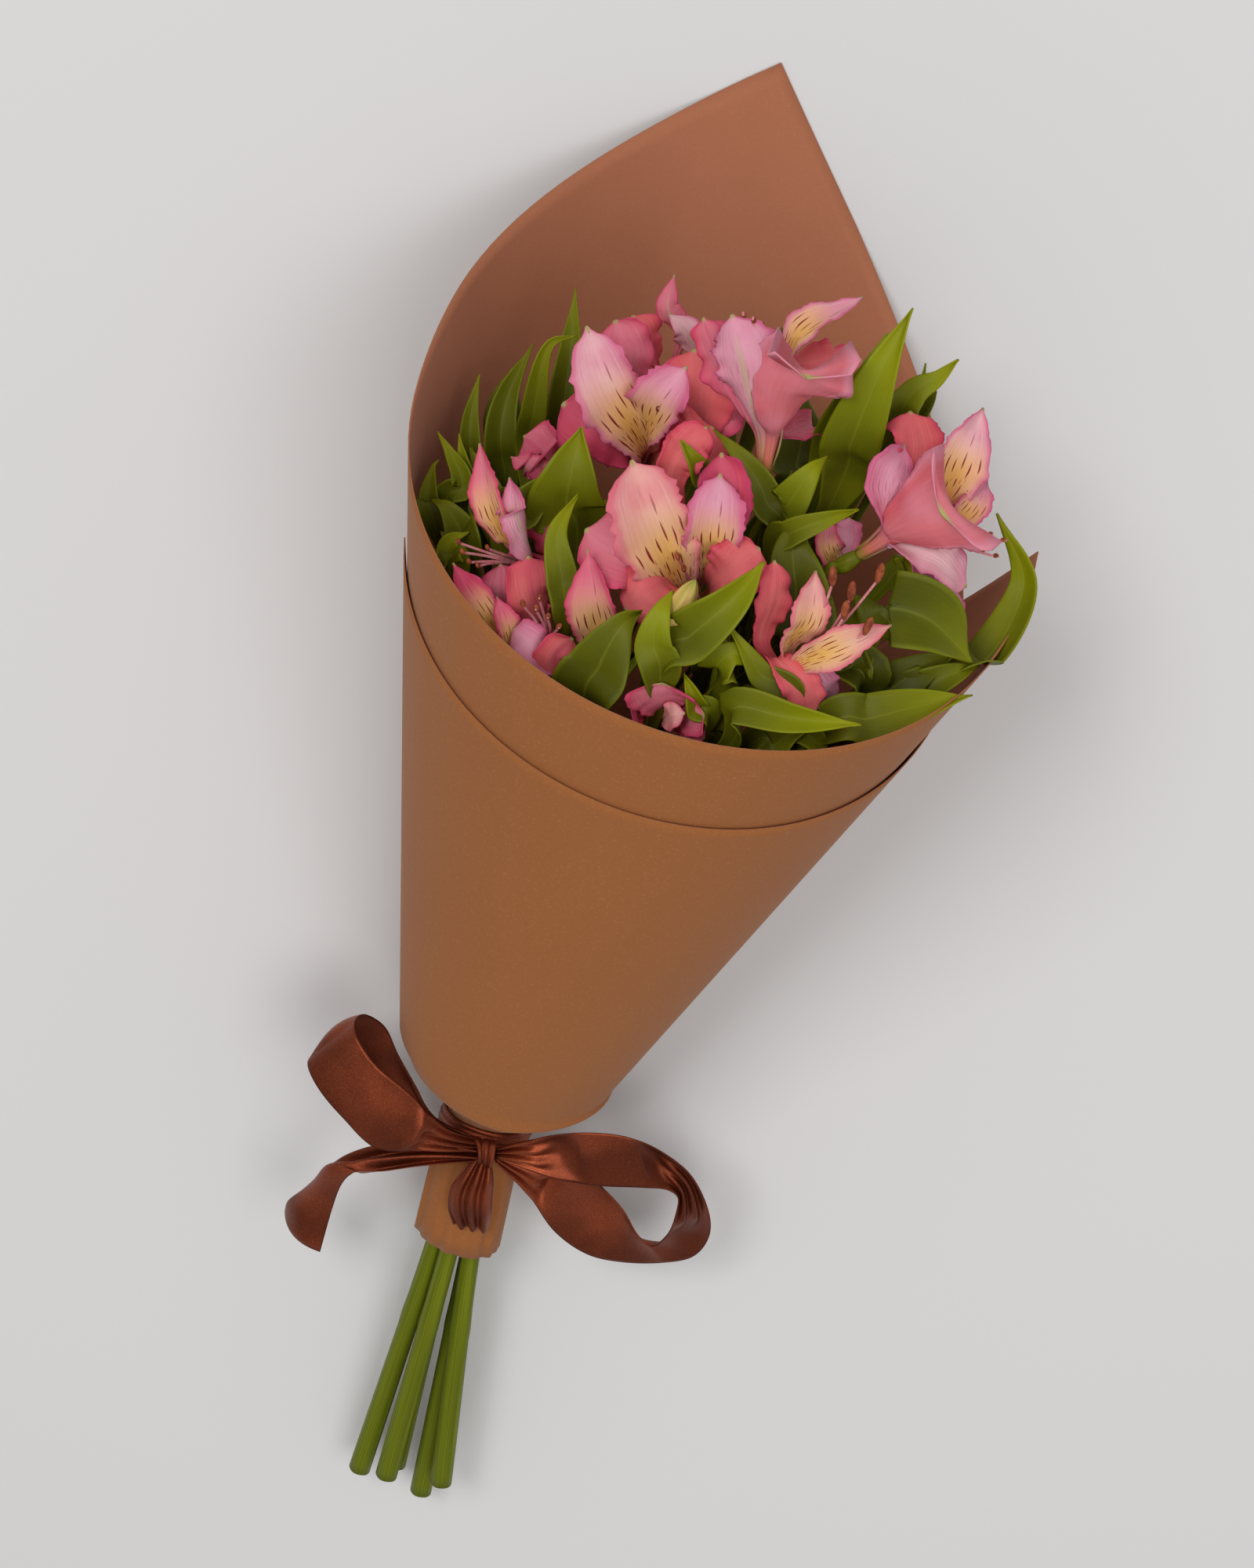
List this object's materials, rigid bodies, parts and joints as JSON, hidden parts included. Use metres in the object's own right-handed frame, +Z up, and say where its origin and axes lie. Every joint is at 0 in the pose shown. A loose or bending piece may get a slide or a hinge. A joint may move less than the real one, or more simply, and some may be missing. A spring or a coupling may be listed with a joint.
{
  "type": "wrapped flower bouquet",
  "caption": "Alstroemeria bouquet lying on its back, rolled in a sheet of brown paper and tied at the neck with a satin bow.",
  "frame": {"origin": "on the flat strip of the paper that the bouquet rests on, below the cone's axis, 304 mm from the lowest stem end", "axes": "+Y from the cut stems to the blooms along the cone's axis, +Z up from the surface that it lies on, +X to the right as seen from above with the blooms ahead"},
  "size_m": [0.2122, 0.5841, 0.187],
  "materials": {
    "paper": "matte brown paper",
    "satin": "copper brown satin",
    "green": "satin leaf green",
    "petal": "soft coral pink",
    "stamen": "matte brown pink"
  },
  "bodies": {
    "root": {"paper_wrapper": "paper", "satin_bow": "satin", "stem_left": "green", "stem_back": "green", "stem_middle": "green", "stem_right": "green", "stem_front": "green", "bloom_top": "petal", "bloom_centre": "petal", "bloom_trumpet": "petal", "bloom_peak": "petal", "bloom_right": "petal", "bloom_front": "petal", "bloom_left": "petal", "bloom_low": "petal", "bloom_inner": "petal", "bloom_cup": "petal", "bloom_half_open": "petal", "stamens_top": "stamen", "stamens_centre": "stamen", "stamens_trumpet": "stamen", "stamens_right": "stamen", "stamens_front": "stamen", "stamens_left": "stamen", "stamens_low": "stamen"}
  },
  "joints": []
}
